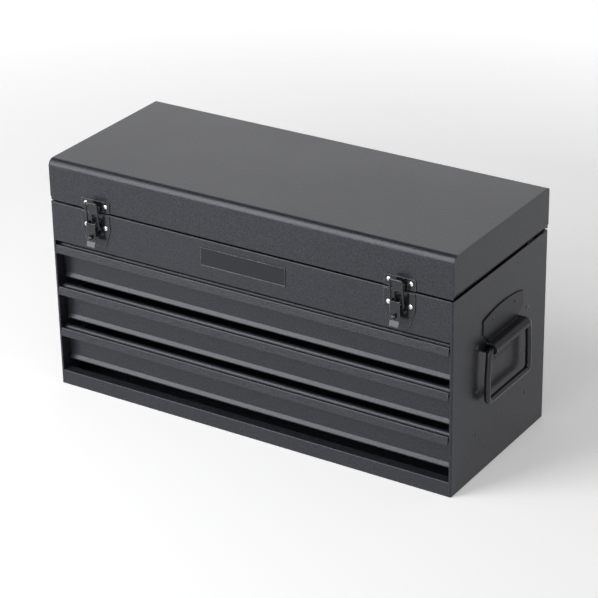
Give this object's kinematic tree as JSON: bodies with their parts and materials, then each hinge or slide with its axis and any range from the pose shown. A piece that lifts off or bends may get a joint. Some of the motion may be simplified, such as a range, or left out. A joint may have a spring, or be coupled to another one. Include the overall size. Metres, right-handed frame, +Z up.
{
  "type": "machinist tool chest",
  "caption": "Wide sheet-steel tool chest with a hinged lid over a top compartment, ball-slide drawers with lip pulls, draw latches and drop handles.",
  "frame": {"origin": "middle of the cabinet's underside", "axes": "+X to the chest's right as seen from the front, +Y towards its back, +Z up; the front is the plane y = -0.10375 m"},
  "size_m": [0.5362, 0.2284, 0.2752],
  "materials": {
    "black_paint": "fine-textured satin powder coat",
    "gloss_black": "glossy black lacquer",
    "zinc_steel": "bright zinc-plated steel",
    "cage_steel": "plain rolled steel strip"
  },
  "bodies": {
    "cabinet": {"cabinet_wrap": "black_paint", "bottom_pan": "black_paint", "front_panel": "black_paint", "compartment_floor": "black_paint", "slide_outer_1_left": "zinc_steel", "slide_outer_1_right": "zinc_steel", "slide_outer_2_left": "zinc_steel", "slide_outer_2_right": "zinc_steel", "slide_outer_3_left": "zinc_steel", "slide_outer_3_right": "zinc_steel", "hinge_leaf_cabinet": "black_paint", "hinge_pin": "zinc_steel", "stay_guide_pins": "zinc_steel", "latch_base_left": "gloss_black", "latch_base_right": "gloss_black", "latch_staple_left": "gloss_black", "latch_staple_right": "gloss_black", "latch_pin_left": "zinc_steel", "latch_pin_right": "zinc_steel", "handle_bracket_left": "gloss_black", "handle_bracket_right": "gloss_black"},
    "lid": {"lid_shell": "black_paint", "lid_end_left": "black_paint", "lid_end_right": "black_paint", "hinge_leaf_lid": "black_paint", "latch_hook_left": "gloss_black", "latch_hook_right": "gloss_black", "stay_pivot_rivets": "zinc_steel"},
    "stay_left": {"lid_stay_left": "zinc_steel"},
    "stay_right": {"lid_stay_right": "zinc_steel"},
    "lever_left": {"latch_lever_left": "gloss_black"},
    "lever_right": {"latch_lever_right": "gloss_black"},
    "loop_left": {"latch_loop_left": "gloss_black"},
    "loop_right": {"latch_loop_right": "gloss_black"},
    "bail_left": {"handle_bail_left": "gloss_black"},
    "bail_right": {"handle_bail_right": "gloss_black"},
    "drawer_1": {"drawer_front_1": "black_paint", "drawer_box_1": "black_paint", "slide_inner_1_left": "zinc_steel", "slide_inner_1_right": "zinc_steel"},
    "cages_1": {"ball_cages_1": "cage_steel"},
    "drawer_2": {"drawer_front_2": "black_paint", "drawer_box_2": "black_paint", "slide_inner_2_left": "zinc_steel", "slide_inner_2_right": "zinc_steel"},
    "cages_2": {"ball_cages_2": "cage_steel"},
    "drawer_3": {"drawer_front_3": "black_paint", "drawer_box_3": "black_paint", "slide_inner_3_left": "zinc_steel", "slide_inner_3_right": "zinc_steel"},
    "cages_3": {"ball_cages_3": "cage_steel"}
  },
  "joints": [
    {"name": "lid_hinge", "type": "hinge", "parent": "cabinet", "child": "lid", "pos_m": [0, 0.10665, 0.2269], "axis": [-1, 0, 0], "range_deg": [0, 95]},
    {"name": "stay_left_pivot", "type": "hinge", "parent": "lid", "child": "stay_left", "pos_m": [-0.25015, 0.08164, 0.2528], "axis": [-1, 0, 0], "range_deg": [-47.5, 0]},
    {"name": "lever_left_hinge", "type": "hinge", "parent": "cabinet", "child": "lever_left", "pos_m": [-0.192, -0.11035, 0.2134], "axis": [-1, 0, 0], "range_deg": [0, 100]},
    {"name": "loop_left_pivot", "type": "hinge", "parent": "lever_left", "child": "loop_left", "pos_m": [-0.192, -0.10935, 0.209], "axis": [1, 0, 0], "range_deg": [0, 200]},
    {"name": "bail_left_hinge", "type": "hinge", "parent": "cabinet", "child": "bail_left", "pos_m": [-0.262, 0.004, 0.145], "axis": [0, 1, 0], "range_deg": [0, 90]},
    {"name": "stay_right_pivot", "type": "hinge", "parent": "lid", "child": "stay_right", "pos_m": [0.25015, 0.08164, 0.2528], "axis": [-1, 0, 0], "range_deg": [-47.5, 0]},
    {"name": "lever_right_hinge", "type": "hinge", "parent": "cabinet", "child": "lever_right", "pos_m": [0.192, -0.11035, 0.2134], "axis": [-1, 0, 0], "range_deg": [0, 100]},
    {"name": "loop_right_pivot", "type": "hinge", "parent": "lever_right", "child": "loop_right", "pos_m": [0.192, -0.10935, 0.209], "axis": [1, 0, 0], "range_deg": [0, 200]},
    {"name": "bail_right_hinge", "type": "hinge", "parent": "cabinet", "child": "bail_right", "pos_m": [0.262, 0.004, 0.145], "axis": [0, -1, 0], "range_deg": [0, 90]},
    {"name": "drawer_1_slide", "type": "slide", "parent": "cabinet", "child": "drawer_1", "axis": [0, -1, 0], "range_m": [0, 0.125]},
    {"name": "cages_1_slide", "type": "slide", "parent": "cabinet", "child": "cages_1", "axis": [0, -1, 0], "range_m": [0, 0.0625]},
    {"name": "drawer_2_slide", "type": "slide", "parent": "cabinet", "child": "drawer_2", "axis": [0, -1, 0], "range_m": [0, 0.125]},
    {"name": "cages_2_slide", "type": "slide", "parent": "cabinet", "child": "cages_2", "axis": [0, -1, 0], "range_m": [0, 0.0625]},
    {"name": "drawer_3_slide", "type": "slide", "parent": "cabinet", "child": "drawer_3", "axis": [0, -1, 0], "range_m": [0, 0.125]},
    {"name": "cages_3_slide", "type": "slide", "parent": "cabinet", "child": "cages_3", "axis": [0, -1, 0], "range_m": [0, 0.0625]}
  ],
  "couplings": [
    {"joint": "stay_left_pivot", "follows": "lid_hinge", "ratio": -0.5},
    {"joint": "loop_left_pivot", "follows": "lever_left_hinge", "ratio": 1.4},
    {"joint": "stay_right_pivot", "follows": "lid_hinge", "ratio": -0.5},
    {"joint": "loop_right_pivot", "follows": "lever_right_hinge", "ratio": 1.4},
    {"joint": "cages_1_slide", "follows": "drawer_1_slide", "ratio": 0.5},
    {"joint": "cages_2_slide", "follows": "drawer_2_slide", "ratio": 0.5},
    {"joint": "cages_3_slide", "follows": "drawer_3_slide", "ratio": 0.5}
  ]
}
